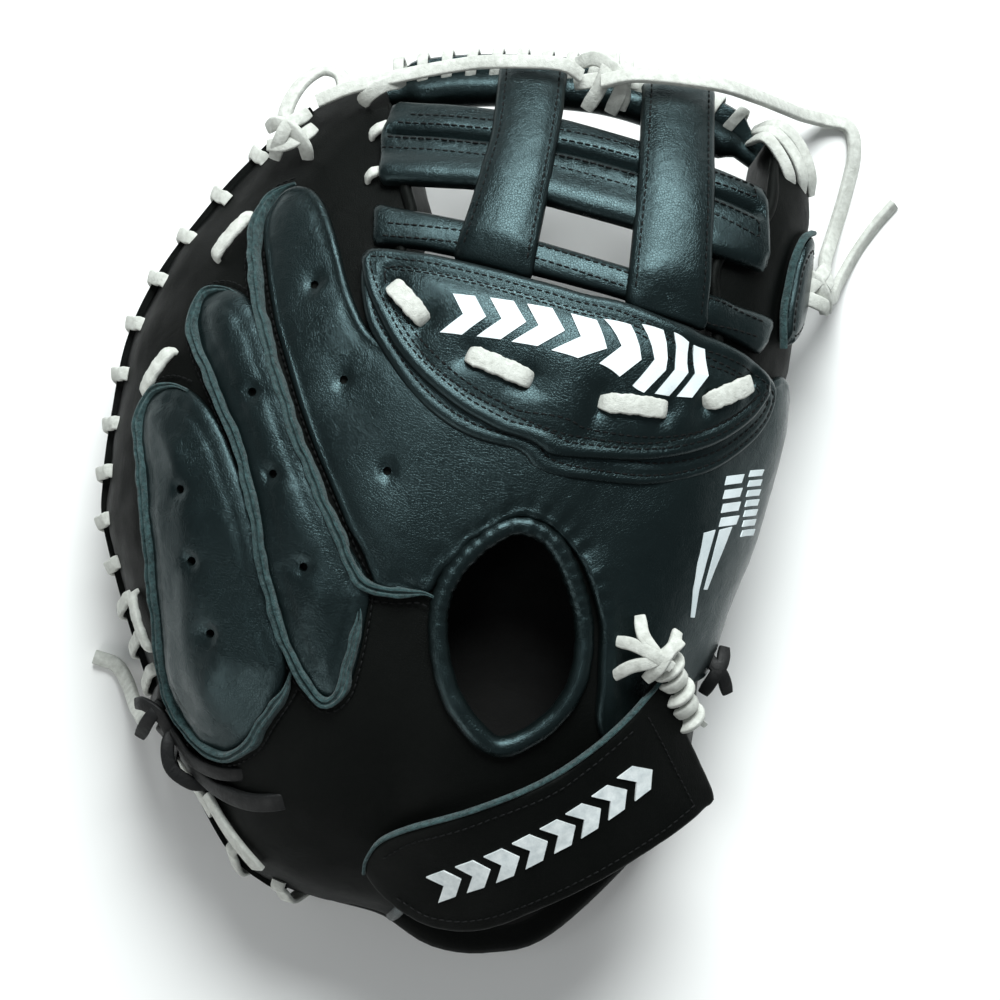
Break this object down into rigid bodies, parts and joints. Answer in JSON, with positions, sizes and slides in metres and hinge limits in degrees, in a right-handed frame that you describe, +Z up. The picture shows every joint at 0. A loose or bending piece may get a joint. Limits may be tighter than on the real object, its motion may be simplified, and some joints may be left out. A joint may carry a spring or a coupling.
{
  "type": "catcher's mitt",
  "caption": "Black leather catcher's mitt with padded rim, finger stalls, two-post web, hand opening, wrist strap and white rawhide lacing.",
  "frame": {"origin": "middle of the mitt on the surface it rests on, palm down", "axes": "+Z up out of the back of the mitt, +Y from heel to web, +X towards the thumb side"},
  "size_m": [0.2827, 0.3026, 0.1103],
  "materials": {
    "black_leather": "semi-gloss, fine grain",
    "matte_leather": "matte, fine grain",
    "lining_leather": "soft, matte",
    "edge_leather": "raw cut edge",
    "white_lace": "rawhide, slightly fuzzy",
    "black_lace": "rawhide",
    "felt": "wool felt",
    "hook_tape": "hook-and-loop tape"
  },
  "bodies": {
    "hand": {"back_leather": "matte_leather", "back_panel": "black_leather", "finger_lace_1": "white_lace", "finger_lace_2": "white_lace", "finger_lace_3": "white_lace", "hand_opening_binding": "black_leather", "heel_lace": "white_lace", "index_knot": "white_lace", "index_loop_lace": "white_lace", "index_outseam": "edge_leather", "palm_leather": "matte_leather", "palm_lining": "lining_leather", "palm_pad": "felt", "pinky_knot": "black_lace", "pinky_outseam": "edge_leather", "pinky_stall": "black_leather", "pinky_tail_lace": "white_lace", "pinky_tie": "black_lace", "rim_lace": "white_lace", "ring_outseam": "edge_leather", "ring_stall": "black_leather", "strap_loop_patch": "felt", "wrist_knot": "white_lace"},
    "thumb": {"thumb_back_leather": "black_leather", "thumb_palm_leather": "matte_leather", "thumb_lining": "lining_leather", "thumb_pad": "felt", "thumb_panel": "black_leather", "thumb_stall_cover": "black_leather", "thumb_knot": "white_lace", "drop_lace": "white_lace", "thumb_tail_lace": "white_lace", "thumb_tip_lace": "white_lace", "thumb_tie": "black_lace"},
    "web": {"crescent_base": "black_leather", "crescent_facing": "black_leather", "crescent_lace_1": "white_lace", "crescent_lace_2": "white_lace", "crescent_lace_3": "white_lace", "crescent_lace_4": "white_lace", "left_post": "black_leather", "right_post": "black_leather", "top_bar": "black_leather", "mid_bar": "black_leather", "low_bar": "black_leather", "centre_knot": "white_lace", "top_lace": "white_lace", "top_bar_lace": "white_lace"},
    "wrist_strap": {"wrist_strap": "black_leather", "strap_hook_patch": "hook_tape"}
  },
  "joints": [
    {"name": "thumb_fold", "type": "hinge", "parent": "hand", "child": "thumb", "pos_m": [0.0645, 0.006, 0.052], "axis": [-0.136, 0.9907, 0], "range_deg": [0, 30], "deforming": ["drop_lace"]},
    {"name": "web_fold", "type": "hinge", "parent": "hand", "child": "web", "pos_m": [0.0645, 0.006, 0.052], "axis": [-0.136, 0.9907, 0], "range_deg": [0, 15], "deforming": ["top_lace"]},
    {"name": "strap_open", "type": "hinge", "parent": "hand", "child": "wrist_strap", "pos_m": [0.076, -0.0775, 0.08], "axis": [-0.3281, 0.8671, 0.3749], "range_deg": [0, 100]}
  ],
  "couplings": [
    {"joint": "web_fold", "follows": "thumb_fold", "ratio": 0.5}
  ]
}
